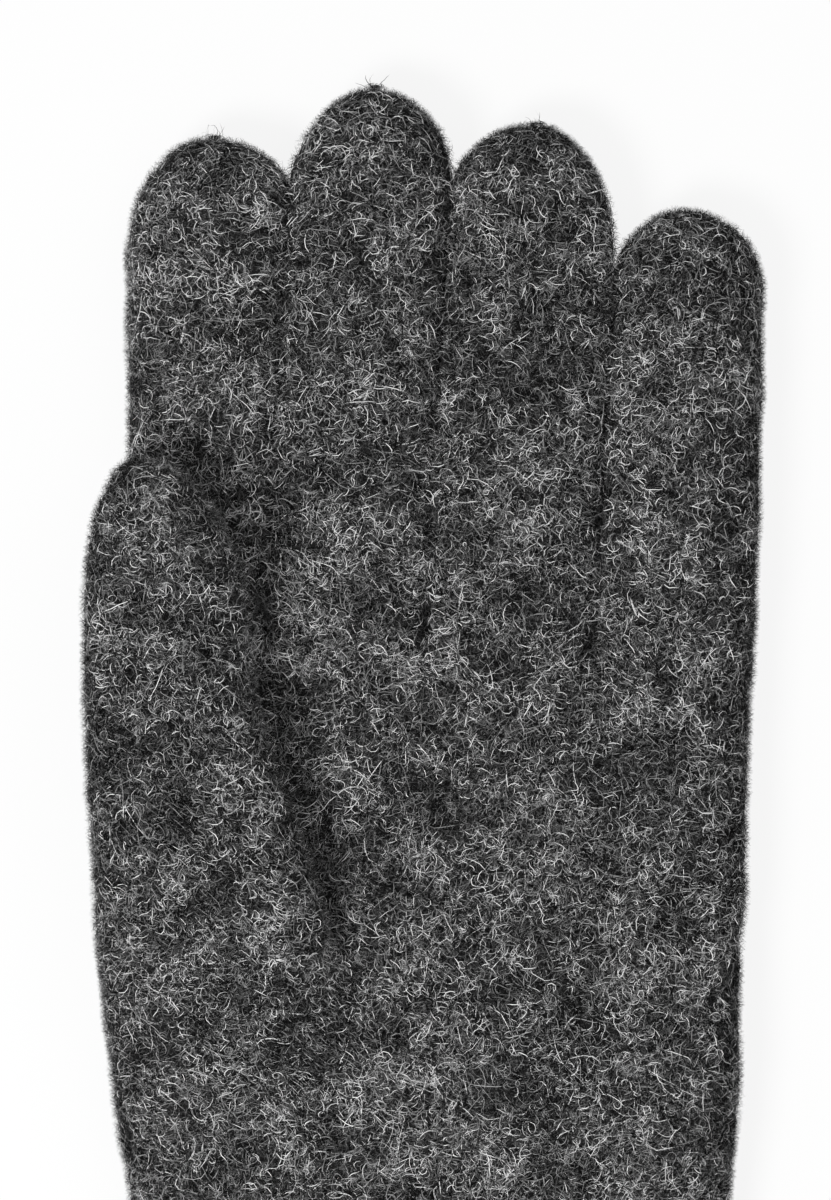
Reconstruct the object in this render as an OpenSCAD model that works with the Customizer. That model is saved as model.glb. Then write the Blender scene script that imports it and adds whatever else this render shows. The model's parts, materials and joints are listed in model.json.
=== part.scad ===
// Left-hand glove of fulled wool with a knitted lining and conductive touch tips.
// It lies on the back of the hand: +Z is up out of the palm, +Y points to the fingertips and
// the thumb lies on the -X side, folded over the palm. The origin is the centre of the footprint.

/* [Glove] */
// Thickness of the hand, the fingers and the cuff as they lie
pad_t = 16; // [15:0.5:20]
// Thickness of the fulled wool shell
wall = 2.2; // [1.6:0.1:2.4]
// Thickness of the knitted lining
lining = 0.8; // [0.5:0.1:0.9]
// Gap between the shell and the lining
ply_gap = 0.25; // [0.2:0.05:0.4]
// Gap between pieces that move apart
body_gap = 0.3; // [0.2:0.05:0.4]

/* [Hand] */
// Distance from the origin to the end of the cuff
cuff_end_y = 125; // [115:1:135]
// Distance from the origin to the wrist line
wrist_y = 78; // [70:1:82]
// Height of the crotches between the fingers
crotch_y = 44; // [42:0.5:46]
// Depth of the knit between two crotches
crotch_wall = 4; // [3:0.5:5]
// Left and right edges at the crotches
knuckle_x = [-51.2, 55.9]; // [-60:0.1:60]
// Left and right edges at the wrist
wrist_x = [-47, 48]; // [-60:0.1:60]
// Left and right edges of the cuff
cuff_x = [-46, 47]; // [-60:0.1:60]

/* [Fingers] */
// Angle by which the fingers lean towards the little finger
finger_lean = 3.3; // [3:0.1:3.6]
// Hinge lines at the finger roots, index to little
root_y = [62.5, 56, 56, 48]; // [46:0.5:64]
// Hinge lines at the middle of the fingers, index to little
bend_y = [89.5, 90, 88, 78]; // [76:0.5:92]
// Fingertips, index to little
tip_y = [114.5, 124.3, 119.8, 107.9]; // [105:0.1:127]
// Lines between the fingers
parting_x = [-28.5, -1.9, 26]; // [-30:0.1:28]
// Outer edge of the index finger
index_side_x = -54.2; // [-55:0.1:-53.6]
// Outer edge of the little finger
little_side_x = 51.6; // [51:0.1:53]

/* [Thumb] */
// Thickness of the thumb as it lies on the palm
thumb_t = 14.6; // [14:0.1:16]
// Mouth, middle and round end of the thumb along the hand
thumb_y = [-14, 28, 50]; // [-15:0.5:51]
// Left edge of the thumb at its mouth and at its middle
thumb_left_x = [-54.9, -57]; // [-58:0.1:-54]
// Right edge of the thumb at its mouth and at its middle
thumb_right_x = [-15.6, -29.8]; // [-32:0.1:-15]
// Centre of the opening in the palm that leads into the thumb
thumb_hole = [-35, -32]; // [-38:0.5:-30]

/* [Cuff] */
// Thickness of the outer ply of the cuff
cuff_wall = 1.6; // [1.2:0.1:1.6]
// Thickness of the turned-in ply of the cuff
cuff_ply = 1.0; // [0.8:0.1:1.2]
// Thickness of the elastic band
elastic_t = 0.6; // [0.5:0.1:0.7]
// Width of the elastic band
elastic_w = 18; // [12:1:24]
// Depth of the folded edge
edge_depth = 2.5; // [2:0.5:4]

/* [Hidden] */
$fn = 48;
wool = "#3e3e40";
wool_dark = "#343436";
lining_grey = "#5a5a5e";
touch_grey = "#48484b";
label_white = "#d8d6d0";

// Each ply of a tube is [outer inset, inner inset], measured inwards from the wool's surface.
shell_ply = [0, wall];
lining_ply = [wall + ply_gap, wall + ply_gap + lining];
cuff_outer_ply = [0, cuff_wall];
elastic_ply = [cuff_wall + 0.15, cuff_wall + 0.15 + elastic_t];
cuff_inner_ply = [elastic_ply[1] + 0.15, elastic_ply[1] + 0.15 + cuff_ply];

half_gap = body_gap / 2;
over = 6;      // how far a cutting form runs past an open end
reach = 90;    // half the width of the blocks that trim a form
sliver = 0.01; // length of the slabs that a tapered form is stretched between
thumb_z = pad_t + body_gap;
hood_disc = [-36, -38, 14, 8]; // low end of the gusset: x, y, radius, height
hole_d = 15;       // width of the opening between hand and thumb
hole_len = 22;     // its length across the hand
label_size = [22, 12, 0.4];
label_at = [0, -66];

index = 0;
middle = 1;
ring = 2;
little = 3;
thumb = 4;

// Rows are [y, left, right]. row_at gives the row at y on the straight tube through a and b.
function row_at(a, b, y) =
    let (s = (y - a[0]) / (b[0] - a[0])) [y, a[1] + s * (b[1] - a[1]), a[2] + s * (b[2] - a[2])];
function finger_left(i) = i == index ? index_side_x : parting_x[i - 1] + half_gap;
function finger_right(i) = i == little ? little_side_x : parting_x[i] - half_gap;
function finger_row(i, y) = [y, finger_left(i), finger_right(i)];
function finger_end_y(i) = tip_y[i] - (finger_right(i) - finger_left(i)) / 2;

// The rows of a digit: its mouth, the row at its middle hinge, and the row where its end starts.
function mouth(i) =
    i == thumb ? [thumb_y[0], thumb_left_x[0], thumb_right_x[0]] : finger_row(i, root_y[i]);
function bend(i) =
    i == thumb ? [thumb_y[1], thumb_left_x[1], thumb_right_x[1]] : finger_row(i, bend_y[i]);
function end(i) =
    i == thumb ? [thumb_y[2], thumb_left_x[1], thumb_right_x[1]] : finger_row(i, finger_end_y(i));
function depth(i) = i == thumb ? thumb_t : pad_t;
function floor_z(i) = i == thumb ? thumb_z : 0;
function lean(i) = i == thumb ? 0 : finger_lean;

wrist_row = [-wrist_y, wrist_x[0], wrist_x[1]];
knuckle_row = [crotch_y, knuckle_x[0], knuckle_x[1]];
cuff_row = [-cuff_end_y, cuff_x[0], cuff_x[1]];
cuff_top_row = [-wrist_y - body_gap, cuff_x[0], cuff_x[1]];

// Solid flat tube with round sides, running on along +Y from a row, shrunk by inset from a
// skin that is t thick.
module slab(row, run, t, z0, inset) {
    side = t / 2;
    translate([0, row[0], z0]) {
        translate([row[1] + side, 0, inset])
            cube([row[2] - row[1] - t, run, t - 2 * inset]);
        for (x = [row[1] + side, row[2] - side])
            translate([x, 0, side]) rotate([-90, 0, 0]) cylinder(h = run, r = side - inset);
    }
}

// The same between rows a and b, which may differ in width.
module flat_form(a, b, t, z0, inset) {
    if (a[1] == b[1] && a[2] == b[2]) slab(a, b[0] - a[0], t, z0, inset);
    else hull() {
        slab(a, sliver, t, z0, inset);
        slab([b[0] - sliver, b[1], b[2]], sliver, t, z0, inset);
    }
}

// Half-round closed end beyond row a.
module end_form(a, t, z0, inset) {
    side = t / 2;
    radius = (a[2] - a[1]) / 2;
    translate([(a[1] + a[2]) / 2, a[0], z0 + side]) rotate_extrude(angle = 180)
        intersection() {
            translate([0, -side]) square([radius, t]);
            union() {
                translate([radius - side, 0]) circle(r = side - inset);
                translate([0, inset - side]) square([radius - side, t - 2 * inset]);
            }
        }
}

// One ply of a straight stretch of tube, open at both ends.
module ply_tube(a, b, t, z0, ply) {
    difference() {
        flat_form(a, b, t, z0, ply[0]);
        flat_form(row_at(a, b, a[0] - over), row_at(a, b, b[0] + over), t, z0, ply[1]);
    }
}

// Lower half of a digit, between its two hinge lines.
module digit_lower(i, ply) {
    a = mouth(i);
    b = bend(i);
    rotate([0, 0, -lean(i)])
        ply_tube(row_at(a, b, a[0] + half_gap), row_at(a, b, b[0] - half_gap),
                 depth(i), floor_z(i), ply);
}

// Straight stretch of a digit's tip, up to where the round end starts.
module digit_barrel(i, ply) {
    a = bend(i);
    b = end(i);
    rotate([0, 0, -lean(i)])
        ply_tube(row_at(a, b, a[0] + half_gap), b, depth(i), floor_z(i), ply);
}

// Round end of a digit.
module digit_cap(i, ply) {
    rotate([0, 0, -lean(i)]) difference() {
        end_form(end(i), depth(i), floor_z(i), ply[0]);
        end_form(end(i), depth(i), floor_z(i), ply[1]);
    }
}

// Tip of a digit: barrel and round end in one piece.
module digit_tip(i, ply) {
    digit_barrel(i, ply);
    digit_cap(i, ply);
}

// Everything on the wrist's side of a line across the leaning fingers, from x = left on.
module below_line(y, left) {
    rotate([0, 0, -finger_lean])
        translate([left, y - 2 * reach, -1]) cube([2 * reach, 2 * reach, pad_t + 2]);
}

// Flat tube of the hand, shrunk by inset, from the wrist up to a line across the fingers.
module hand_form(inset, from_y, to_y) {
    intersection() {
        below_line(to_y, -reach);
        flat_form(row_at(wrist_row, knuckle_row, from_y),
                  row_at(wrist_row, knuckle_row, to_y + over), pad_t, 0, inset);
    }
}

// Outside of the hand, with a step at the root of each finger.
module hand_block() {
    difference() {
        hand_form(0, -wrist_y, root_y[index] - half_gap);
        rotate([0, 0, -finger_lean]) for (i = [middle:little])
            if (root_y[i] < root_y[i - 1])
                translate([parting_x[i - 1] - half_gap, root_y[i] - half_gap, -1])
                    cube([reach, reach, pad_t + 2]);
    }
}

// Space inside the hand and the roots of the fingers; open ends run on by extra.
module hand_hollow(inset, extra) {
    top_y = crotch_y - crotch_wall - (inset - wall);
    hand_form(inset, -wrist_y - extra, top_y);
    rotate([0, 0, -finger_lean]) for (i = [index:little])
        flat_form(finger_row(i, top_y), finger_row(i, root_y[i] - half_gap + extra),
                  pad_t, 0, inset);
}

// Slot with round ends that leads from the hand into the thumb.
module thumb_way(z_low, z_high, d) {
    run = hole_len - hole_d;
    translate([thumb_hole[0], thumb_hole[1], z_low]) linear_extrude(z_high - z_low) {
        square([run, d], center = true);
        for (s = [-1, 1]) translate([s * run / 2, 0]) circle(d = d);
    }
}

// The way through the palm, cut in the shell and in the lining.
module palm_way() { thumb_way(pad_t / 2, pad_t + 1, hole_d); }

// Hood that grows out of the palm and turns into the thumb.
module hood_form(inset, extra) {
    a = mouth(thumb);
    b = bend(thumb);
    hull() {
        flat_form(row_at(a, b, a[0] - half_gap - 1), row_at(a, b, a[0] - half_gap + extra),
                  thumb_t, thumb_z, inset);
        translate([hood_disc[0], hood_disc[1], thumb_z + inset])
            cylinder(h = hood_disc[3] - 2 * inset, r = hood_disc[2] - inset);
    }
}

module hood_ply(ply) {
    difference() {
        hood_form(ply[0], 0);
        hood_form(ply[1], over);
        thumb_way(thumb_z - 1, thumb_z + lining_ply[1] + 0.2, hole_d);
    }
}

module cuff_ply_tube(from_y, to_y, ply) {
    ply_tube(row_at(cuff_row, cuff_top_row, from_y), row_at(cuff_row, cuff_top_row, to_y),
             pad_t, 0, ply);
}

module hand_shell() {
    color(wool) difference() {
        hand_block();
        hand_hollow(wall, over);
        palm_way();
    }
}
module hand_lining() {
    color(lining_grey) difference() {
        hand_hollow(lining_ply[0], 0);
        hand_hollow(lining_ply[1], over);
        palm_way();
    }
}
module care_label() {
    color(label_white)
        translate([label_at[0], label_at[1], lining_ply[1] + label_size[2] / 2])
            cube(label_size, center = true);
}

module cuff_outer() {
    color(wool_dark) cuff_ply_tube(-cuff_end_y + edge_depth, cuff_top_row[0], cuff_outer_ply);
}
module cuff_inner() {
    color(wool_dark) cuff_ply_tube(-cuff_end_y + edge_depth, cuff_top_row[0], cuff_inner_ply);
}
module cuff_elastic() {
    middle_y = -(cuff_end_y + wrist_y) / 2;
    color(label_white)
        cuff_ply_tube(middle_y - elastic_w / 2, middle_y + elastic_w / 2, elastic_ply);
}
module cuff_edge() {
    color(wool_dark)
        cuff_ply_tube(-cuff_end_y, -cuff_end_y + edge_depth, [0, cuff_inner_ply[1]]);
}

module index_lower_shell() { color(wool) digit_lower(index, shell_ply); }
module index_lower_lining() { color(lining_grey) digit_lower(index, lining_ply); }
module index_tip_shell() { color(wool) digit_barrel(index, shell_ply); }
module index_touch_cap() { color(touch_grey) digit_cap(index, shell_ply); }
module index_tip_lining() { color(lining_grey) digit_tip(index, lining_ply); }

module middle_lower_shell() { color(wool) digit_lower(middle, shell_ply); }
module middle_lower_lining() { color(lining_grey) digit_lower(middle, lining_ply); }
module middle_tip_shell() { color(wool) digit_tip(middle, shell_ply); }
module middle_tip_lining() { color(lining_grey) digit_tip(middle, lining_ply); }

module ring_lower_shell() { color(wool) digit_lower(ring, shell_ply); }
module ring_lower_lining() { color(lining_grey) digit_lower(ring, lining_ply); }
module ring_tip_shell() { color(wool) digit_tip(ring, shell_ply); }
module ring_tip_lining() { color(lining_grey) digit_tip(ring, lining_ply); }

module little_lower_shell() { color(wool) digit_lower(little, shell_ply); }
module little_lower_lining() { color(lining_grey) digit_lower(little, lining_ply); }
module little_tip_shell() { color(wool) digit_tip(little, shell_ply); }
module little_tip_lining() { color(lining_grey) digit_tip(little, lining_ply); }

module thumb_gusset_shell() { color(wool) hood_ply(shell_ply); }
module thumb_gusset_lining() { color(lining_grey) hood_ply(lining_ply); }
module thumb_lower_shell() { color(wool) digit_lower(thumb, shell_ply); }
module thumb_lower_lining() { color(lining_grey) digit_lower(thumb, lining_ply); }
module thumb_tip_shell() { color(wool) digit_barrel(thumb, shell_ply); }
module thumb_touch_cap() { color(touch_grey) digit_cap(thumb, shell_ply); }
module thumb_tip_lining() { color(lining_grey) digit_tip(thumb, lining_ply); }

hand_shell();
hand_lining();
care_label();
cuff_outer();
cuff_inner();
cuff_elastic();
cuff_edge();
index_lower_shell();
index_lower_lining();
index_tip_shell();
index_touch_cap();
index_tip_lining();
middle_lower_shell();
middle_lower_lining();
middle_tip_shell();
middle_tip_lining();
ring_lower_shell();
ring_lower_lining();
ring_tip_shell();
ring_tip_lining();
little_lower_shell();
little_lower_lining();
little_tip_shell();
little_tip_lining();
thumb_gusset_shell();
thumb_gusset_lining();
thumb_lower_shell();
thumb_lower_lining();
thumb_tip_shell();
thumb_touch_cap();
thumb_tip_lining();
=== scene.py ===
"""Looks of a left-hand touchscreen glove in fulled wool, lying palm up with its thumb folded over the palm.

Shapes are worked out in millimetres and turned into metres when a mesh is made. Fingers are built in the
leaning frame, in which they run straight along +Y; everything else is built in the row frame.
"""

import json
import math

import bpy
import numpy as np
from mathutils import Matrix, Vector


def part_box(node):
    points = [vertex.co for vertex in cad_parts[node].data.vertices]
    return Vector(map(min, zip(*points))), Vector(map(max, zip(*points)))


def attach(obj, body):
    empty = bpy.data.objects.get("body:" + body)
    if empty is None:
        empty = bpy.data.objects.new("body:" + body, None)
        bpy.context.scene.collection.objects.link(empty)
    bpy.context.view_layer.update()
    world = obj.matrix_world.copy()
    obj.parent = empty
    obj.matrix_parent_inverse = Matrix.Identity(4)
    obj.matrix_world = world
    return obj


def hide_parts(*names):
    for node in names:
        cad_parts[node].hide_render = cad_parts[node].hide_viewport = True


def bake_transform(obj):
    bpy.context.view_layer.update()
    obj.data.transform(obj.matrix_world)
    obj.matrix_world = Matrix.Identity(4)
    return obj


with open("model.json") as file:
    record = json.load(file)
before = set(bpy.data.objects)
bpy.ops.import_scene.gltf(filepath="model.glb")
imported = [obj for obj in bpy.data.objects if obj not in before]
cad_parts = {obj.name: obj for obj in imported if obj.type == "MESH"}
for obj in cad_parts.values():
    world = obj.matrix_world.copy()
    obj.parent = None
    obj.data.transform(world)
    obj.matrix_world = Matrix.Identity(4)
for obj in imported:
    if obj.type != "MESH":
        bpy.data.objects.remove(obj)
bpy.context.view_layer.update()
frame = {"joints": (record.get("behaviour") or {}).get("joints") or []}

MM = 0.001
SEED = 41
joints = {joint["name"]: joint for joint in frame["joints"]}
rng = np.random.default_rng(SEED)

# ---------------------------------------------------------------- sizes, in millimetres
FINGERS = ("index", "middle", "ring", "little")
LEAN = math.atan2(-joints["middle_root"]["axis"][1], joints["middle_root"]["axis"][0])
PAD_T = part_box("hand_shell")[1].z / MM
CUFF_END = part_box("cuff_edge")[0].y / MM
CROTCH = 46  # line across the leaning fingers where their tubes part
WRIST = -68  # line where the hand's wool ends and the cuff's outer ply starts
RIB_START, RIB_FULL = -72, -84  # the cuff's ribs grow out of the felt between these lines
RIB_COUNT = 52
STITCH = 1.7  # height of one knitted stitch
FUR = 0.5  # how far the fibres stand out at the sides
LINING_IN = 3.1  # how far the lining lies below the wool's surface
LINING_START = -72
# The creases cut deeper than the lining lies above this line, so the fingers' linings start there.
LINING_PARTS = 29
LINING_LAP = 1  # how far the hand's lining reaches past that line
LINING_STEP, LINING_ROUND = 1.6, 24  # rows along and steps over a finger's or the thumb's lining
GAPS = (0.02, 0.02, 0.06)  # half the gap between two fingers
HALF_ROUND = 40  # steps over the top of a finger's section
EDGE_R = 8.0  # how wide the round sides of the hand are
HALF_LEFT, HALF_RIGHT = 52, 53.2  # from the middle of the hand to its sides at the crotches
CREASE_FROM, CREASE_EASE = 34, 8  # a crease counts as one above this line, in full after this length
BUMPS = ((0.42, 19), (0.26, 6.5), (0.2, 2.6))  # height and cell size of the felt's unevenness
WOOL_LOWEST, FIBRE_LOWEST = 0.03, 0.02  # least height above the floor
FADE_FROM = (46, 46, 44)  # where each crease between two fingers starts to fade, leaning frame
FADE_LONG = (20, 20, 20)  # and how far below it is gone


def to_row(x, y):
    """A point of the leaning frame in the row frame."""
    c, s = math.cos(LEAN), math.sin(LEAN)
    return x * c + y * s, y * c - x * s


def to_lean(x, y):
    """A point of the row frame in the leaning frame."""
    c, s = math.cos(LEAN), math.sin(LEAN)
    return x * c - y * s, x * s + y * c


# Lines between the fingers in the leaning frame, and the outer sides as (y, x) points there.
PARTINGS = (-28.5, -1.9, 26.1)
INDEX_SIDE = ((20, -51.0), (46, -52.0), (63, -52.8), (104, -55.2))
LITTLE_SIDE = ((20, 53.6), (46, 53.2), (60, 52.8), (90, 51.8))
TIPS = (114.3, 124.2, 119.6, 106.9)  # ends of the fingers, leaning frame
END_LONG = ((22, 10), (20, 15), (14, 24), (13.5, 14.5))  # length of each round end, left and right
# Outline of the hand in the row frame, as (y, x) points from the wrist up.
HAND_LEFT = ((-125, -45.5), (-100, -46.0), (-75, -47.6), (-57, -49.7), (-44, -51.4), (-27, -53.3),
             (-15, -54.2), (0, -53.0), (20, -50.6), (46, -49.3))
HAND_RIGHT = ((-125, 46.5), (-100, 47.2), (-75, 49.6), (-57, 51.7), (-37, 52.9), (-10, 53.6),
              (6, 54.3), (20, 54.9), (36, 55.6), (46, 55.9))
# Thumb in the row frame, from the low end of its gusset up: (y, left, right, bottom, top).
THUMB_ROWS = (
    (-60, -44.0, -26.0, 4.0, 13.0), (-52, -48.0, -22.0, 5.0, 14.8), (-42, -50.6, -19.5, 6.0, 17.2),
    (-32, -52.0, -17.6, 8.0, 20.8), (-22, -53.0, -16.2, 11.0, 25.2), (-14, -53.6, -16.2, 15.6, 28.8),
    (-4, -54.1, -18.4, 16.4, 30.6), (9.5, -54.8, -23.5, 16.4, 31.0), (23, -55.1, -27.1, 16.4, 30.9),
    (36.2, -55.4, -29.0, 16.5, 30.5))
THUMB_TIP = 62.7  # end of the thumb, row frame
THUMB_DRIFT = -4.2  # how far the thumb's end leans to the left
THUMB_CAP = 49  # where its touch tip starts
FLARE = 6  # how far the mound spreads at its foot


def smooth(x):
    """0 below 0 and 1 above 1, with a soft step between."""
    x = np.clip(x, 0, 1)
    return x * x * (3 - 2 * x)


def along(points, y):
    """x on the smooth curve through (y, x) points, at each y."""
    ys, xs = np.array(points, float).T
    slopes = np.gradient(xs, ys)
    y = np.clip(y, ys[0], ys[-1])
    i = np.clip(np.searchsorted(ys, y) - 1, 0, len(ys) - 2)
    h = ys[i + 1] - ys[i]
    t = (y - ys[i]) / h
    return ((2 * t**3 - 3 * t**2 + 1) * xs[i] + (t**3 - 2 * t**2 + t) * h * slopes[i]
            + (3 * t**2 - 2 * t**3) * xs[i + 1] + (t**3 - t**2) * h * slopes[i + 1])


# ---------------------------------------------------------------- noise and meshes
LATTICE = np.random.default_rng(SEED + 1).random(1 << 16)


def value_noise(p, cell, seed=0):
    """Smooth noise from -1 to 1 at points p, on a lattice of that cell size."""
    q = p / cell + seed * 17.31
    i = np.floor(q).astype(np.int64)
    f = q - i
    f = f * f * (3 - 2 * f)
    total = 0
    for corner in range(8):
        step = np.array([corner & 1, corner >> 1 & 1, corner >> 2 & 1])
        n = i + step
        key = (n[..., 0] * 73856093 ^ n[..., 1] * 19349663 ^ n[..., 2] * 83492791) & 0xFFFF
        total = total + LATTICE[key] * np.prod(np.where(step, f, 1 - f), axis=-1)
    return total * 2 - 1


def grid_normals(p):
    """Outward normals of a grid of points that closes around, rows first."""
    across = np.roll(p, -1, axis=1) - np.roll(p, 1, axis=1)
    n = np.cross(across, np.gradient(p, axis=0))
    return n / np.maximum(np.linalg.norm(n, axis=-1, keepdims=True), 1e-9)


def near_crease(p):
    """How near points are to the creases between two fingers."""
    x, y = to_lean(p[..., 0], p[..., 1])
    gap = np.min([np.abs(x - parting) for parting in PARTINGS], axis=0)
    return smooth((3.5 - gap) / 2) * smooth((y - CREASE_FROM) / CREASE_EASE)


def felt(p, strength=1.0, fur=FUR):
    """Moves a surface in and out as fulled wool is uneven, leaves room for fibres at its sides and keeps
    it above the floor."""
    n = grid_normals(p)
    lift = sum(high * value_noise(p, cell, seed) for seed, (high, cell) in enumerate(BUMPS, 1)) * strength
    closing = np.clip(np.ptp(p[..., 0], axis=1) / 6, 0, 1)[:, None]  # no bumps where a tip closes
    room = fur * (1 - n[..., 2] ** 2) * (1 - near_crease(p))
    out = p + n * (lift * closing - room)[..., None]
    out[..., 2] = np.maximum(out[..., 2], WOOL_LOWEST)
    return out


def new_mesh(name, points, faces, materials, slots=None):
    """A mesh object from points in millimetres and a list of face arrays."""
    mesh = bpy.data.meshes.new(name)
    mesh.vertices.add(len(points))
    mesh.vertices.foreach_set("co", (np.asarray(points) * MM).astype(np.float32).ravel())
    corners = np.concatenate([f.ravel() for f in faces]).astype(np.int32)
    totals = np.concatenate([np.full(len(f), f.shape[1]) for f in faces])
    starts = np.concatenate([[0], np.cumsum(totals)[:-1]])
    mesh.loops.add(len(corners))
    mesh.loops.foreach_set("vertex_index", corners)
    mesh.polygons.add(len(totals))
    mesh.polygons.foreach_set("loop_start", starts.astype(np.int32))
    for material in materials:
        mesh.materials.append(material)
    if slots is not None:
        mesh.polygons.foreach_set("material_index", slots.astype(np.int32))
    mesh.polygons.foreach_set("use_smooth", np.ones(len(totals), bool))
    mesh.update(calc_edges=True)
    obj = bpy.data.objects.new(name, mesh)
    bpy.context.scene.collection.objects.link(obj)
    return obj


def tube(name, p, material, closed=False, light=None):
    """A piece from a grid of rows round a tube; a closed one has its last row drawn to a point. Light, where
    it is given, is a painted shade for each point, kept as an attribute that darkens the material's colour."""
    rows, columns = p.shape[:2]
    r, c = np.meshgrid(np.arange(rows - 1), np.arange(columns), indexing="ij")
    d = (c + 1) % columns
    faces = [np.stack([r * columns + c, r * columns + d, (r + 1) * columns + d,
                       (r + 1) * columns + c], -1).reshape(-1, 4)]
    points = p.reshape(-1, 3)
    if closed:
        c = np.arange(columns)
        last = (rows - 1) * columns
        faces.append(np.stack([last + c, last + (c + 1) % columns, np.full(columns, len(points))], -1))
        end = p[-1].mean(axis=0) + (p[-1].mean(axis=0) - p[-2].mean(axis=0)) * 0.3
        points = np.vstack([points, end])
    obj = new_mesh(name, points, faces, [material])
    if light is not None:
        obj.data.attributes.new("light", "FLOAT", "POINT").data.foreach_set("value", light.ravel())
    return obj


# ---------------------------------------------------------------- shapes
def half_arc(count, wide, thick, square_left, square_right):
    """Evenly spaced points over a flat tube from its left side to its right: x and z from its middle."""
    angle = np.linspace(math.pi, 0, 361)
    c, s = np.cos(angle), np.sin(angle)
    square = np.where(c < 0, square_left, square_right)
    x = np.sign(c) * np.abs(c) ** (2 / square) * wide
    z = np.abs(s) ** (2 / square) * thick
    run = np.concatenate([[0], np.cumsum(np.hypot(np.diff(x), np.diff(z)))])
    even = np.linspace(0, run[-1], count + 1)
    return np.interp(even, run, x), np.interp(even, run, z)


def section(count, y, left, right, low, top, squares):
    """A row of points round a flat tube, from its left side over the top."""
    x, z = half_arc(count, (right - left) / 2, (top - low) / 2, *squares)
    x, z = np.concatenate([x, x[-2:0:-1]]), np.concatenate([z, -z[-2:0:-1]])
    return np.stack([(left + right) / 2 + x, np.full(2 * count, y), (low + top) / 2 + z], -1)


def rounded_rows(start, end, end_long, step):
    """Rows from start to a round end, closer together there, and the share of full width at each."""
    straight = np.arange(start, end - end_long, step)
    turn = np.linspace(0, math.pi / 2, max(10, round(end_long * 1.4 / step)))
    turn[-1] -= 0.05
    y = np.concatenate([straight, end - end_long + end_long * np.sin(turn)])
    return y, np.concatenate([np.ones(len(straight)), np.cos(turn)])


def finger_grid(i, inset=0.0, step=0.8, start=CROTCH - 4, count=HALF_ROUND):
    """A finger's surface, in the leaning frame, from inside the hand to its tip."""
    tip = TIPS[i] - inset
    y, _ = rounded_rows(start, tip, max(END_LONG[i]) - inset * 0.6, step)
    left = along(INDEX_SIDE, y) if i == 0 else np.full_like(y, PARTINGS[i - 1] + GAPS[i - 1])
    right = along(LITTLE_SIDE, y) if i == 3 else np.full_like(y, PARTINGS[i] - GAPS[i])
    shrink = inset + 0.5 * smooth((CROTCH - y) / 3)  # a little smaller where it starts inside the hand
    centre, half = (left + right) / 2, (right - left) / 2 - shrink
    left, right = (centre + side * half * np.sqrt(1 - np.clip((y - tip) / long + 1, 0, 0.999) ** 2)
                   for side, long in zip((-1, 1), END_LONG[i]))
    top = PAD_T - shrink - 0.9 * smooth((y - 70) / 45)
    middle, thick = (top + shrink) / 2, (top - shrink) / 2 * ((right - left) / 2 / half) ** 0.72
    inner = 9 - 3 * smooth((y - CROTCH) / 16) - 2 * smooth((y - 75) / 35)
    rows = [section(count, y[k], left[k], right[k], middle[k] - thick[k], middle[k] + thick[k],
                    (2.6 if i == 0 else inner[k], 2.6 if i == 3 else inner[k])) for k in range(len(y))]
    return np.array(rows)


def lean_grid(p):
    """A grid of the leaning frame in the row frame."""
    x, y = to_row(p[..., 0], p[..., 1])
    return np.stack([x, y, p[..., 2]], -1)


def thumb_grid(inset=0.0, step=0.8, count=HALF_ROUND):
    """The thumb's surface from the low end of its gusset to its tip."""
    table = np.array(THUMB_ROWS)
    y, share = rounded_rows(table[0, 0] + inset, THUMB_TIP - inset, THUMB_TIP - table[-1, 0] - inset, step)
    left, right, low, top = (along(table[:, (0, c)], y) for c in (1, 2, 3, 4))
    centre, half = (left + right) / 2 + THUMB_DRIFT * (1 - share) ** 0.8, ((right - left) / 2 - inset) * share
    middle, thick = (low + top) / 2, ((top - low) / 2 - inset) * share ** 0.7
    square = 2.1 + 0.6 * smooth((y + 58) / 40)
    p = np.array([section(count, y[k], centre[k] - half[k], centre[k] + half[k], middle[k] - thick[k],
                          middle[k] + thick[k], (square[k], square[k])) for k in range(len(y))])
    # Where the mound leaves the palm it flares out, so that the two run into each other.
    flare = np.exp(-((p[..., 2] - PAD_T + 0.5) / 3.2) ** 2) * smooth((-6 - y) / 16)[:, None]
    p[..., 0] += FLARE * flare * smooth((p[..., 0] - centre[:, None]) / 8)
    return p


def pad_row(y, share, upper, inset=0.0):
    """A row round the hand or wrist, whose height along its middle is y."""
    tilt = LEAN * smooth((y + 30) / 76)
    y_left, y_right = y + HALF_LEFT * math.sin(tilt), y - HALF_RIGHT * math.sin(tilt)
    ease = smooth((y - 30) / 16)
    left = along(HAND_LEFT, y_left)
    right = along(HAND_RIGHT, y_right)
    left += ease * (to_row(along(INDEX_SIDE, CROTCH), CROTCH)[0] - left) + inset
    right += ease * (to_row(along(LITTLE_SIDE, CROTCH), CROTCH)[0] - right) - inset
    top, low = PAD_T - 0.1 - 1.1 * smooth((-20 - y) / 55) - inset, inset
    d = np.clip(np.minimum(share, 1 - share) * (right - left) / (EDGE_R - inset), 0, 1)
    half = (top - low) / 2 * np.sqrt(1 - (1 - d) ** 2)
    crown = 0.5 * (1 - (2 * share - 1) ** 2) * d
    z = (top + low) / 2 + np.where(upper, half + crown, -half)
    return np.stack([left + share * (right - left), y_left + share * (y_right - y_left), z], -1)


def even_ring(count):
    """Shares across the hand of points evenly round it, and which of them are on top."""
    x, _ = half_arc(count, 50, 8, 2.6, 2.6)
    share = (np.concatenate([x, x[-2:0:-1]]) / 50 + 1) / 2
    return share, np.arange(2 * count) <= count


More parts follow.
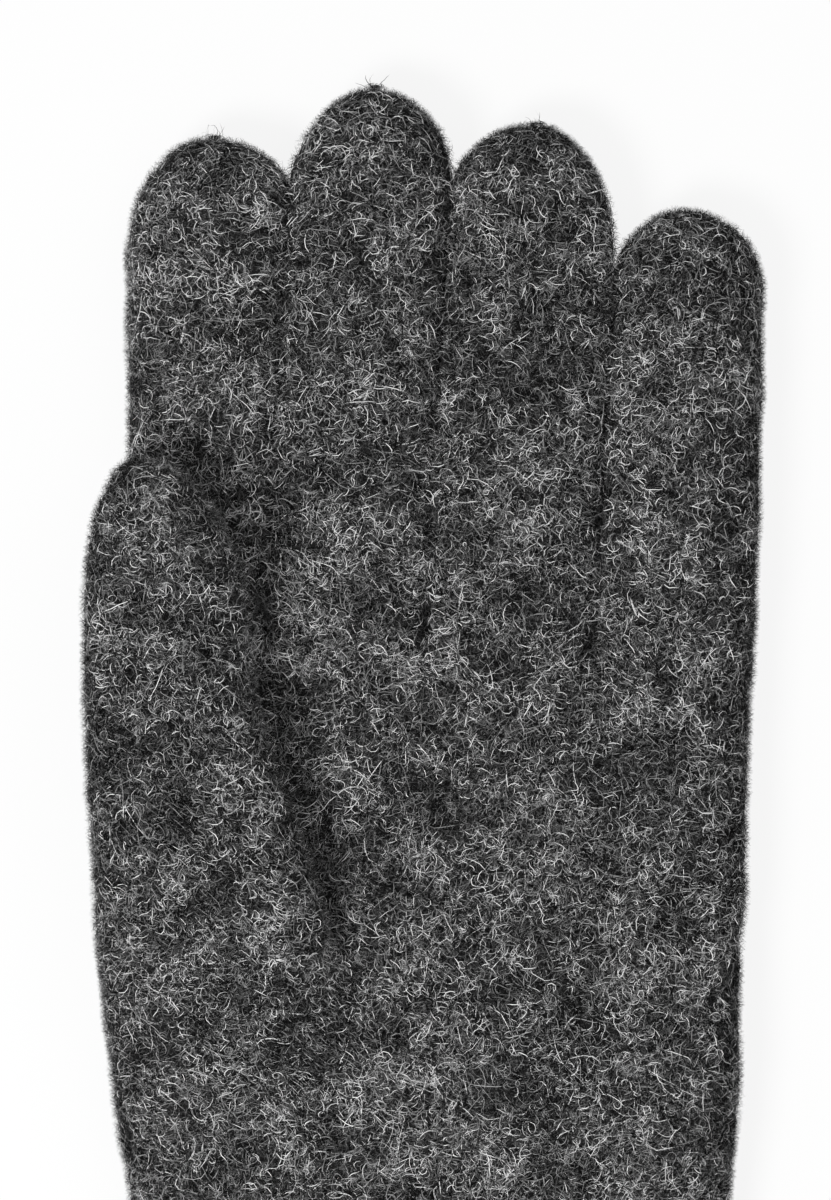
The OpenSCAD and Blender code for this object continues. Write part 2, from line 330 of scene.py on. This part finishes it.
def hand_grid(step=0.8):
    """The hand from the wrist to the crotches, where its section is the four fingers' sections."""
    half = HALF_ROUND
    rings = [finger_grid(i, start=CROTCH, step=200)[0] for i in range(4)]
    top = [(i, ring[: half + 1], np.linspace(0, 1, half + 1)) for i, ring in enumerate(rings)]
    low = [(i, np.vstack([ring[half:], ring[:1]]), np.linspace(1, 0, half + 1))
           for i, ring in reversed(list(enumerate(rings)))]
    low[0] = (3, low[0][1][1:], low[0][2][1:])
    low[-1] = (0, low[-1][1][:-1], low[-1][2][:-1])
    crotch = np.vstack([p for _, p, _ in top + low])
    finger = np.concatenate([np.full(len(p), i) for i, p, _ in top + low])
    even = np.concatenate([e for _, _, e in top + low])
    upper = np.arange(len(crotch)) < 4 * (half + 1)
    edges = np.array([r[0, 0] for r in rings] + [rings[3][half, 0]])
    share_edges = (edges - edges[0]) / (edges[-1] - edges[0])
    from_share, to_share = share_edges[finger], share_edges[finger + 1]
    across = ((crotch[:, 0] - edges[0]) / (edges[-1] - edges[0]) - from_share) / (to_share - from_share)
    rows = []
    for y in np.append(np.arange(WRIST, CROTCH - 0.4, step), CROTCH * math.cos(LEAN)):
        spread = across + (even - across) * smooth((44 - y) / 26)
        share = from_share + spread * (to_share - from_share)
        row = pad_row(y, share, upper)
        fades = [smooth((FADE_FROM[j] - to_lean(row[:, 0], row[:, 1])[1]) / FADE_LONG[j]) for j in range(3)]
        padded = np.array([fades[0], *fades, fades[2]])
        n = np.arange(len(row))
        fade = padded[finger, n] + (padded[finger + 1, n] - padded[finger, n]) * spread
        row[:, 2] = crotch[:, 2] + (row[:, 2] - crotch[:, 2]) * fade
        rows.append(row)
    return np.array(rows)


def ribs(p, depth):
    """Knitted ribs round the cuff, each two columns of V stitches wide, as deep at each row as depth says,
    and a painted shade for each point of them: darker in the furrows and between the stitches."""
    steps = np.linalg.norm(np.roll(p, -1, axis=1) - p, axis=-1)
    run = np.cumsum(steps, axis=1) - steps
    turn = run / steps.sum(axis=1, keepdims=True) * RIB_COUNT
    crest = np.abs(np.sin(math.pi * turn))
    column = np.abs((2 * turn) % 1 - 0.5)  # 0 in the middle of a column of stitches, 0.5 between two
    wave = 1.5 * (crest**0.7 - 0.68) - 0.35 * smooth((column - 0.34) / 0.16) * crest
    stitch = 0.3 * np.cos(2 * math.pi * (p[..., 1] / STITCH + column)) * crest
    depth = depth[:, None]
    # Painted shade: the colour is darkened in the furrows between the ribs and between the stitches.
    light = 1 - depth * (1 - crest * (0.75 + 0.8 * stitch))
    return p + grid_normals(p) * ((wave + stitch) * depth)[..., None], light


# ---------------------------------------------------------------- fibres
SHADES = (0.002, 0.013, 0.058, 0.195, 0.53)  # from the darkest fibres of the heather to the palest
SHADE_UP_TO = (0.28, 0.49, 0.70, 0.9)
STEPS = 5  # straight pieces in one fibre
MOST_FIBRES = 19500  # in one object
FIBRE_DENSITY = 8.0  # on each square millimetre of the side that shows


def on_grid(p, u, v):
    """Points at rows u and columns v of a grid, carried on straight beyond its ends."""
    rows, columns = p.shape[:2]
    i = np.clip(np.floor(u), 0, rows - 2).astype(int)
    f = np.clip(u - i, -6, 1.4)[..., None]
    v = v % columns
    j = np.floor(v).astype(int) % columns
    g = (v - np.floor(v))[..., None]
    k = (j + 1) % columns
    return (p[i, j] * (1 - f) + p[i + 1, j] * f) * (1 - g) + (p[i, k] * (1 - f) + p[i + 1, k] * f) * g


def fibre_field(p, density, lying, keep, nap):
    """Points, normals and shades of curly fibres lying on a grid: one row of points for each fibre."""
    rows, columns = p.shape[:2]
    n = grid_normals(p)
    along_u = np.linalg.norm(np.gradient(p, axis=0), axis=-1)
    along_v = np.linalg.norm((np.roll(p, -1, axis=1) - np.roll(p, 1, axis=1)) / 2, axis=-1)
    weight = along_u * along_v * (lying + (1 - lying) * smooth((n[..., 2] + 0.75) / 0.7))
    edge = smooth((0.8 - np.abs(n[..., 2])) / 0.5)
    crease = near_crease(p)
    weight *= (1 + 0.7 * edge * (1 - crease)) * (1 - 0.75 * edge * crease) * (1 + 0.5 * (1 - edge) * crease)
    weight *= np.clip(1 + 0.9 * value_noise(p, 1.9, 8) + 0.4 * value_noise(p, 5, 9), 0.1, 2)
    if keep is not None:
        weight = weight * keep(p)
    weight = weight[:-1]
    count = int(weight.sum() * density)
    cell = rng.choice(weight.size, count, p=(weight / weight.sum()).ravel())
    u = cell // columns + rng.random(count)
    v = cell % columns + rng.random(count)
    long = np.where(rng.random(count) < 0.03, rng.uniform(5, 8, count), rng.uniform(1.6, 4.2, count))
    edge = edge.ravel()[cell]
    downy = rng.random(count) < 0.2 + 0.45 * edge
    long = np.where(downy, rng.uniform(0.8, 1.7, count) * (1 + 0.5 * edge), long)
    long = long * (0.4 + 0.6 * nap)
    step = long / STEPS
    heading = rng.uniform(0, 2 * math.pi, count)
    turn = rng.normal(0, 0.48, count) * np.where(long > 5, 0.6, 1)
    us, vs, plane = [u], [v], [np.zeros((count, 2))]
    for _ in range(STEPS):
        iu = np.clip(u, 0, rows - 1).astype(int)
        iv = v.astype(int) % columns
        go = np.stack([np.cos(heading), np.sin(heading)], -1) * step[:, None]
        u = u + go[:, 0] / np.maximum(along_u[iu, iv], 0.15)
        v = v + go[:, 1] / np.maximum(along_v[iu, iv], 0.15)
        heading = heading + turn + rng.normal(0, 0.22, count)
        us.append(u)
        vs.append(v)
        plane.append(plane[-1] + go)
    us, vs, plane = np.stack(us, 1), np.stack(vs, 1), np.stack(plane, 1)
    points, normals = on_grid(p, us, vs), on_grid(n, us, vs)
    normals /= np.maximum(np.linalg.norm(normals, axis=-1, keepdims=True), 1e-6)
    # Some fibres keep straight on instead of following the surface: they bridge creases and stand off edges.
    crease = near_crease(points[:, 0])
    off = (rng.random(count) < (0.4 + 0.4 * crease) * (nap == 1)) & (long < 4.5)
    up = on_grid(np.gradient(p, axis=0), us[:, 0], vs[:, 0])
    up /= np.linalg.norm(up, axis=-1, keepdims=True)
    out = normals[:, 0]
    over = np.cross(up, out)
    drop = (plane**2).sum(-1) / (26 + 40 * crease[:, None])
    straight = (points[:, :1] + plane[..., :1] * up[:, None] + plane[..., 1:] * over[:, None]
                - drop[..., None] * out[:, None])
    points = np.where(off[:, None, None], straight, points)
    normals = np.where(off[:, None, None], out[:, None], normals)
    s = np.linspace(0, 1, STEPS + 1)
    free = downy | (rng.random(count) < 0.15)
    height = rng.uniform(0.1, 0.6, count) * np.where(free, 1.25, 1) + np.where(downy, 0.3 + 0.5 * edge, 0)
    lift = np.where(free[:, None], s**1.4, np.sin(math.pi * s)) * height[:, None] * nap - 0.04
    points = points + normals * lift[..., None]
    patch = (0.36 * value_noise(points[:, 0], 9, 5) + 0.5 * value_noise(points[:, 0], 4, 6)
             + 0.4 * value_noise(points[:, 0], 1.7, 7))
    shade = np.searchsorted(SHADE_UP_TO, np.clip(rng.random(count) + 0.24 * patch, 0, 0.999))
    shade = np.where((long > 5) & (shade < 3), shade + 1, shade)
    fine = np.where(downy, 0.6, 1.0)
    reach = np.linalg.norm(np.diff(points, axis=1), axis=-1).max(axis=1)
    sound = reach < 1.5 * step + 0.5  # a fibre drawn out where the grid closes is left out
    return points[sound], normals[sound], shade[sound], fine[sound]


def fibres(name, p, density, place, thick=(0.07, 0.132), lying=0.3, keep=None, nap=1.0):
    """Ribbons for the fibres that stand on a grid, in as many objects as they need."""
    points, normals, shade, fine = fibre_field(p, density, lying, keep, nap)
    for part, first in enumerate(range(0, len(points), MOST_FIBRES), 1):
        q, n = points[first:first + MOST_FIBRES], normals[first:first + MOST_FIBRES]
        tone = shade[first:first + MOST_FIBRES]
        count = len(q)
        t = np.gradient(q, axis=1)
        t /= np.maximum(np.linalg.norm(t, axis=-1, keepdims=True), 1e-6)
        roll = rng.uniform(-0.9, 0.9, count)[:, None, None]
        side = np.cross(t, n)
        side = side * np.cos(roll) + n * np.sin(roll)
        taper = np.array([0.45, 0.95, 1, 1, 0.8, 0.3])[None, :, None]
        wide = rng.uniform(*thick, count) * fine[first:first + MOST_FIBRES]
        half = side * taper * wide[:, None, None] / 2
        both = np.stack([q - half, q + half], 2)
        both[..., 2] = np.maximum(both[..., 2], FIBRE_LOWEST)
        k = np.arange(STEPS)
        quad = np.stack([2 * k, 2 * k + 1, 2 * k + 3, 2 * k + 2], -1)
        faces = (np.arange(count)[:, None, None] * 2 * (STEPS + 1) + quad[None]).reshape(-1, 4)
        obj = new_mesh(f"{name}_fibres_{part}", both.reshape(-1, 3), [faces], FIBRE_MATERIALS,
                       np.repeat(tone, STEPS))
        place(obj)


# ---------------------------------------------------------------- materials
class Shader:
    """A material's node tree with short calls for adding nodes."""

    def __init__(self, name, roughness, specular=0.25, sheen=0.0):
        self.material = bpy.data.materials.new(name)
        self.material.use_nodes = True
        self.tree = self.material.node_tree
        self.surface = self.tree.nodes["Principled BSDF"]
        self.surface.inputs["Roughness"].default_value = roughness
        self.surface.inputs["Specular IOR Level"].default_value = specular
        self.surface.inputs["Sheen Weight"].default_value = sheen
        self.surface.inputs["Sheen Roughness"].default_value = 0.6

    def node(self, kind, settings=None, **inputs):
        made = self.tree.nodes.new(kind)
        for key, value in (settings or {}).items():
            setattr(made, key, value)
        for key, value in inputs.items():
            socket = made.inputs[int(key[1:])] if key[1:].isdigit() else made.inputs[key.replace("_", " ")]
            if isinstance(value, bpy.types.NodeSocket):
                self.tree.links.new(value, socket)
            else:
                socket.default_value = value
        return made

    def millimetres(self):
        coordinates = self.node("ShaderNodeTexCoord").outputs["Object"]
        return self.node("ShaderNodeMapping", Vector=coordinates, Scale=(1000, 1000, 1000)).outputs[0]

    def noise(self, vector, scale, detail=2.0, out=0):
        return self.node("ShaderNodeTexNoise", Vector=vector, Scale=scale, Detail=detail).outputs[out]

    def math(self, operation, a, b=0.0):
        return self.node("ShaderNodeMath", {"operation": operation}, i0=a, i1=b).outputs[0]

    def spread(self, value, low, high, to_low=0.0, to_high=1.0):
        return self.node("ShaderNodeMapRange", {"interpolation_type": "SMOOTHSTEP"}, Value=value,
                         From_Min=low, From_Max=high, To_Min=to_low, To_Max=to_high).outputs[0]

    def colour(self, value, *stops):
        ramp = self.node("ShaderNodeValToRGB", i0=value)
        elements = ramp.color_ramp.elements
        while len(elements) < len(stops):
            elements.new(0.5)
        for element, (position, grey) in zip(elements, stops):
            element.position = position
            element.color = (*(grey if isinstance(grey, tuple) else (grey,) * 3), 1)
        self.tree.links.new(ramp.outputs[0], self.surface.inputs["Base Color"])

    def bump(self, height, strength, distance):
        made = self.node("ShaderNodeBump", Height=height, Strength=strength, Distance=distance)
        self.tree.links.new(made.outputs[0], self.surface.inputs["Normal"])


def curls(shader, where, count=3):
    """Curly lines, as fibres make: where a few bent noises cross their middle value."""
    total = None
    for k in range(count):
        bent = shader.node("ShaderNodeVectorMath", {"operation": "ADD"}, i0=where,
                           i1=(11.3 * k, 7.1 * k, 3.7 * k)).outputs[0]
        value = shader.noise(bent, 0.62 + 0.17 * k, 1.5)
        off_middle = shader.math("ABSOLUTE", shader.math("SUBTRACT", value, 0.5))
        line = shader.spread(off_middle, 0.0, 0.028, 1.0, 0.0)
        total = line if total is None else shader.math("MAXIMUM", total, line)
    return total


def wool_material(name, greys, sheen, ribbed=False):
    """Heather wool: pale curly lines over dark felt. On ribs the colour is also darkened by the light
    attribute, a painted shade in the furrows and between the stitches.
    """
    s = Shader(name, 0.9, 0.01, sheen)
    mm = s.millimetres()
    line = curls(s, mm)
    patch = s.spread(s.noise(mm, 0.16, 3), 0.3, 0.7, 0.65, 1.0)
    fine = s.spread(s.noise(mm, 2.4, 2), 0.35, 0.7, 0.3, 1.0)
    tone = s.math("MULTIPLY", s.math("MULTIPLY", line, patch), fine)
    if ribbed:
        # Painted shade: the light attribute darkens the colour in the ribs' furrows and between their
        # stitches.
        light = s.node("ShaderNodeAttribute", {"attribute_name": "light"}).outputs["Fac"]
        tone = s.math("MULTIPLY", s.math("ADD", s.math("MULTIPLY", tone, 1.1), 0.3), light)
    s.colour(tone, *zip((0.0, 0.3, 1.0), greys))
    s.bump(s.math("ADD", line, s.noise(mm, 1.1, 3)), 0.7, 0.00035)
    return s.material


def knit_material(name, dark, pale, pitch):
    """Fine plain knitting: rows of small V stitches."""
    s = Shader(name, 0.9, 0.2, 0.15)
    mm = s.millimetres()
    parts = s.node("ShaderNodeSeparateXYZ", Vector=mm)
    x = s.math("MULTIPLY", parts.outputs[0], 2 * math.pi / pitch)
    lean = s.math("ABSOLUTE", s.math("SINE", s.math("MULTIPLY", x, 0.5)))
    y = s.math("ADD", s.math("MULTIPLY", parts.outputs[1], 2 * math.pi / (0.8 * pitch)),
               s.math("MULTIPLY", lean, 2.4))
    loops = s.math("MULTIPLY", s.math("ADD", s.math("SINE", y), 1.0), 0.5)
    wale = s.math("MULTIPLY", lean, loops)
    s.colour(s.math("MULTIPLY", wale, s.spread(s.noise(mm, 0.5, 3), 0.2, 0.8, 0.6, 1.0)),
             (0.0, dark), (1.0, pale))
    s.bump(wale, 0.8, 0.0003)
    return s.material


def elastic_material():
    s = Shader("elastic", 0.7, 0.3)
    mm = s.millimetres()
    weave = s.node("ShaderNodeTexWave", {"wave_type": "BANDS", "bands_direction": "Y"}, Vector=mm, Scale=0.28,
                   Distortion=0.4).outputs["Fac"]
    s.colour(weave, (0.0, 0.10), (1.0, 0.42))
    s.bump(weave, 0.5, 0.0002)
    return s.material


def label_material():
    s = Shader("label", 0.45, 0.4)
    mm = s.millimetres()
    satin = s.node("ShaderNodeTexWave", {"wave_type": "BANDS", "bands_direction": "X"}, Vector=mm, Scale=1.1,
                   Distortion=0.6).outputs["Fac"]
    s.colour(satin, (0.0, 0.62), (1.0, 0.78))
    s.bump(satin, 0.25, 0.0001)
    return s.material


def fibre_material(k):
    s = Shader(f"wool_fibre_{k + 1}", 0.75, 0.02)
    s.surface.inputs["Base Color"].default_value = (SHADES[k],) * 3 + (1,)
    return s.material


WOOL = wool_material("wool", (0.008, 0.035, 0.22), 0.02)
TOUCH = wool_material("touch_knit", (0.009, 0.038, 0.24), 0.04)
RIB = wool_material("rib", (0.005, 0.035, 0.36), 0.02, ribbed=True)
LINING = knit_material("lining", 0.14, 0.5, 1.3)
FACING = knit_material("rib_inside", 0.12, 0.42, 1.6)
ELASTIC = elastic_material()
LABEL = label_material()
FIBRE_MATERIALS = [fibre_material(k) for k in range(len(SHADES))]


# ---------------------------------------------------------------- how pieces move
def riding(body):
    return lambda obj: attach(obj, body)


def bending():
    """Bakes a piece's place into its mesh; the piece is put on no body and does not bend."""
    return lambda obj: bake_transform(obj)


def lean_bending(body_a, body_b, i, start, end):
    return bending()


def finish_piece(obj, place, slot, *nodes):
    """Places a piece as its place step says, in the place of the nodes it stands for, which are hidden."""
    place(obj)
    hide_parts(*nodes)


def split_at(p, y, level):
    """Both parts of a grid whose rows are at heights y, sharing the row nearest to level."""
    k = int(np.argmin(np.abs(y - level)))
    return p[: k + 1], p[k:]


# ---------------------------------------------------------------- hand, wrist and cuff
WRIST_BEND = bending()
hand = felt(hand_grid())
finish_piece(tube("hand_wool", hand, WOOL), riding("hand"), "wool", "hand_shell")
fibres("hand", hand, FIBRE_DENSITY, riding("hand"))

CUFF_ROUND, INNER_ROUND = 250, 150  # steps over the cuff's outer ply, and over the pieces inside it
EDGE_DEPTH = 2.5  # how far the folded edge turns
CUFF_WALL = 3.4  # from the outer ply to the inner one
FACING_END = -70
NAP_THICK, NAP, NAP_DENSITY, HEM_DENSITY = (0.05, 0.09), 0.35, 6.0, 1.8  # the short nap on the ribs
share, upper = even_ring(CUFF_ROUND)
cuff_rows = np.arange(CUFF_END + EDGE_DEPTH, WRIST + 0.1, 0.42)
cuff_rows = np.append(cuff_rows, WRIST + 0.4)
cuff = np.array([pad_row(y, share, upper) for y in cuff_rows])
rib_depth = smooth((RIB_START - cuff_rows) / (RIB_START - RIB_FULL))
# The ribs come with a painted shade, darker in their furrows, which the rib material multiplies into its
# colour.
cuff, cuff_painted_shade = ribs(cuff, rib_depth)
cuff = felt(cuff, 0.5)
finish_piece(tube("cuff_rib", cuff, RIB, light=cuff_painted_shade), WRIST_BEND, "rib", "cuff_outer")
fray = smooth((cuff_rows - RIB_FULL) / (WRIST - RIB_FULL))  # the felt's fibres thin out over the ribs
fibres("cuff", cuff, FIBRE_DENSITY, WRIST_BEND, keep=lambda p: 0.001 + fray[:, None])
crest = cuff_painted_shade - 0.45
fibres("cuff_nap", cuff, NAP_DENSITY, WRIST_BEND, thick=NAP_THICK, nap=NAP,
       keep=lambda p: np.clip(crest, 0, 1) + 0.02)

# The folded edge turns from the outer ply round to the inner one.
turns = np.linspace(0, math.pi, 13)
hem = []
for turn in turns[::-1]:
    row = pad_row(CUFF_END + EDGE_DEPTH, share, upper, CUFF_WALL / 2 * (1 - math.cos(turn)))
    row[:, 1] = CUFF_END + EDGE_DEPTH * (1 - math.sin(turn))
    hem.append(row)
# The folded edge's ribs carry the same painted shade in their furrows.
hem, hem_painted_shade = ribs(np.array(hem), np.cos(turns[::-1] / 2) ** 2)
hem = felt(hem, 0.5 * np.cos(turns[::-1, None] / 2) ** 2)
hem[-1] = cuff[0]
finish_piece(tube("cuff_hem", hem, RIB, light=hem_painted_shade), riding("cuff"), "rib", "cuff_edge")
fibres("cuff_hem", hem, HEM_DENSITY, riding("cuff"), thick=NAP_THICK, lying=1.0, nap=NAP)

in_share, in_upper = even_ring(INNER_ROUND)


def inner_rows(y0, y1, step, inset):
    """Rows round the hand or cuff, that far inside its outer surface."""
    return np.array([pad_row(y, in_share, in_upper, inset) for y in np.arange(y0, y1 + 0.01, step)])


facing = inner_rows(CUFF_END + EDGE_DEPTH, FACING_END, 1.0, CUFF_WALL)
facing, _ = ribs(facing, np.full(len(facing), 0.3))
finish_piece(tube("cuff_facing", facing, FACING), WRIST_BEND, "rib", "cuff_inner")
band_low, band_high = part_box("cuff_elastic")
band = inner_rows(band_low.y / MM, band_high.y / MM, 0.6, CUFF_WALL * 0.5)
band += grid_normals(band) * (0.15 * np.cos(2 * math.pi * band[..., 1:2] / 1.8))
finish_piece(tube("cuff_band", band, ELASTIC), riding("cuff"), "elastic", "cuff_elastic")

hand_lining = felt(inner_rows(LINING_START, LINING_PARTS + LINING_LAP, 1.5, LINING_IN), 0.5)
finish_piece(tube("hand_lining_knit", hand_lining, LINING), riding("hand"), "lining", "hand_lining")


def care_label():
    """A blank slip of satin, held at one end and lifting at the other."""
    low, high = (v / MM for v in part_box("care_label"))
    x, y = np.meshgrid(np.linspace(low.x, high.x, 41), np.linspace(low.y, high.y, 25))
    u, v = (x - low.x) / (high.x - low.x), (y - low.y) / (high.y - low.y)
    z = low.z + 0.25 + 0.9 * smooth((0.85 - v) / 0.85) * (0.4 + 0.6 * np.sin(math.pi * u)) * (1 - v)
    top = np.stack([x, y, z + 0.12], -1).reshape(-1, 3)
    bottom = top - (0, 0, 0.24)
    rows, columns = x.shape
    r, c = np.meshgrid(np.arange(rows - 1), np.arange(columns - 1), indexing="ij")
    corner, above = r * columns + c, (r + 1) * columns + c
    face = np.stack([corner, corner + 1, above + 1, above], -1).reshape(-1, 4)
    rim = np.concatenate([np.arange(columns), np.arange(1, rows) * columns + columns - 1,
                          (rows - 1) * columns + np.arange(columns - 2, -1, -1),
                          np.arange(rows - 2, 0, -1) * columns])
    after = np.roll(rim, -1)
    n = rows * columns
    sides = np.stack([rim, rim + n, after + n, after], -1)
    return new_mesh("label_blank", np.vstack([top, bottom]), [face, face[:, ::-1] + n, sides], [LABEL])


finish_piece(care_label(), riding("hand"), "label", "care_label")

# ---------------------------------------------------------------- fingers
# Lines at each finger's root and at its middle, in the leaning frame; they are handed on, but no piece bends
# between them.
ROOT_BEND = ((54.5, 70.5), (48, 64), (48, 64), (46, 62))
TIP_BEND = ((81.5, 97.5), (82, 98), (80, 96), (70, 86))
SPLIT = (76, 73, 72, 66)  # where each finger's lower part ends
INDEX_TOUCH = 100  # where the index finger's touch tip starts
for i, finger in enumerate(FINGERS):
    lower, tip = f"{finger}_lower", f"{finger}_tip"
    to_lower = lean_bending("hand", lower, i, *ROOT_BEND[i])
    to_tip = lean_bending(lower, tip, i, *TIP_BEND[i])
    plain = finger_grid(i)
    wool = felt(lean_grid(plain))
    level = plain[:, 0, 1]
    near, far = split_at(wool, level, SPLIT[i])
    finish_piece(tube(f"{finger}_root_wool", near, WOOL), to_lower, "wool", f"{lower}_shell")
    fibres(f"{finger}_root", near[4:], FIBRE_DENSITY, to_lower)
    if i == 0:
        far, cap = split_at(far, level[len(near) - 1:], INDEX_TOUCH)
        finish_piece(tube("index_touch_wool", cap, TOUCH, closed=True), riding(tip), "touch_knit",
                     "index_touch_cap")
        fibres("index_touch", cap, FIBRE_DENSITY, riding(tip))
    finish_piece(tube(f"{finger}_tip_wool", far, WOOL, closed=i > 0), to_tip, "wool", f"{tip}_shell")
    fibres(f"{finger}_tip", far, FIBRE_DENSITY, to_tip)
    inside = finger_grid(i, LINING_IN, LINING_STEP, LINING_PARTS, LINING_ROUND)
    near, far = split_at(felt(lean_grid(inside), 0.5), inside[:, 0, 1], SPLIT[i])
    finish_piece(tube(f"{finger}_root_lining", near, LINING), to_lower, "lining", f"{lower}_lining")
    finish_piece(tube(f"{finger}_tip_lining_knit", far, LINING, closed=True), to_tip, "lining",
                 f"{tip}_lining")

# ---------------------------------------------------------------- thumb
THUMB_MOVES = (("gusset", "thumb_gusset", bending()),
               ("lower", "thumb_lower", bending()),
               ("tip", "thumb_tip", bending()))
THUMB_SPLITS = (-26, 8)  # where the gusset ends and where the lower part does
GUSSET_SHOWS = 13.5  # the gusset has fibres above this height only, where it stands out of the palm
plain = thumb_grid()
wool, level = felt(plain), plain[:, 0, 1]
inside = thumb_grid(LINING_IN, LINING_STEP, LINING_ROUND)
inside, inside_level = felt(inside, 0.5), inside[:, 0, 1]
for (part, body, move), end in zip(THUMB_MOVES, (*THUMB_SPLITS, THUMB_CAP)):
    near, wool = split_at(wool, level, end)
    level = level[len(near) - 1:]
    finish_piece(tube(f"thumb_{part}_wool", near, WOOL), move, "wool", f"{body}_shell")
    fibres(f"thumb_{part}", near, FIBRE_DENSITY, move,
           keep=(lambda p: p[..., 2] > GUSSET_SHOWS) if part == "gusset" else None)
    last = part == "tip"
    near, inside = (inside, None) if last else split_at(inside, inside_level, end)
    inside_level = inside_level[len(near) - 1:]
    finish_piece(tube(f"thumb_{part}_lining_knit", near, LINING, closed=last), move, "lining",
                 f"{body}_lining")
finish_piece(tube("thumb_touch_wool", wool, TOUCH, closed=True), riding("thumb_tip"), "touch_knit",
             "thumb_touch_cap")
fibres("thumb_touch", wool, FIBRE_DENSITY, riding("thumb_tip"))


# ---------------------------------------------------------------- floor, light and camera
def pale(name, grey, glow):
    s = Shader(name, 0.95, 0.0)
    s.surface.inputs["Base Color"].default_value = (grey,) * 3 + (1,)
    s.surface.inputs["Emission Color"].default_value = (1, 1, 1, 1)
    s.surface.inputs["Emission Strength"].default_value = glow
    return s.material


FLOOR_HALF = 3000
FLOOR_GREY, FLOOR_GLOW = 0.07, 0.87
WORLD_LIGHT = 0.76
floor = new_mesh("floor", FLOOR_HALF * np.array([(-1, -1, 0), (1, -1, 0), (1, 1, 0), (-1, 1, 0)]),
                 [np.array([[0, 1, 2, 3]])], [pale("floor", FLOOR_GREY, FLOOR_GLOW)])


def area_light(name, place, size, watts):
    data = bpy.data.lights.new(name, "AREA")
    data.shape = "DISK"
    data.size = size
    data.energy = watts
    light = bpy.data.objects.new(name, data)
    light.location = place
    light.rotation_euler = (-Vector(place)).to_track_quat("-Z", "Y").to_euler()
    bpy.context.scene.collection.objects.link(light)


area_light("key", (-0.5, -0.4, 0.9), 0.4, 15)
area_light("fill", (0.5, 0.5, 1.1), 0.9, 2)
world = bpy.data.worlds.new("studio")
bpy.context.scene.world = world
world.use_nodes = True
world.node_tree.nodes["Background"].inputs["Color"].default_value = (1, 1, 1, 1)
world.node_tree.nodes["Background"].inputs["Strength"].default_value = WORLD_LIGHT
bpy.context.scene.view_settings.view_transform = "Standard"

LENS, SENSOR = 120, 36
SEEN_LONG = 200  # height of the view in millimetres, at the height of the glove's middle
VIEW_X, VIEW_Y, VIEW_Z = -1.33, 39.5, 10
camera_data = bpy.data.cameras.new("camera")
camera_data.lens = LENS
camera_data.sensor_width = SENSOR
camera = bpy.data.objects.new("camera", camera_data)
camera.location = (VIEW_X * MM, VIEW_Y * MM, (VIEW_Z + SEEN_LONG * LENS / SENSOR) * MM)
camera_data.clip_start = 0.01
bpy.context.scene.collection.objects.link(camera)
bpy.context.scene.camera = camera
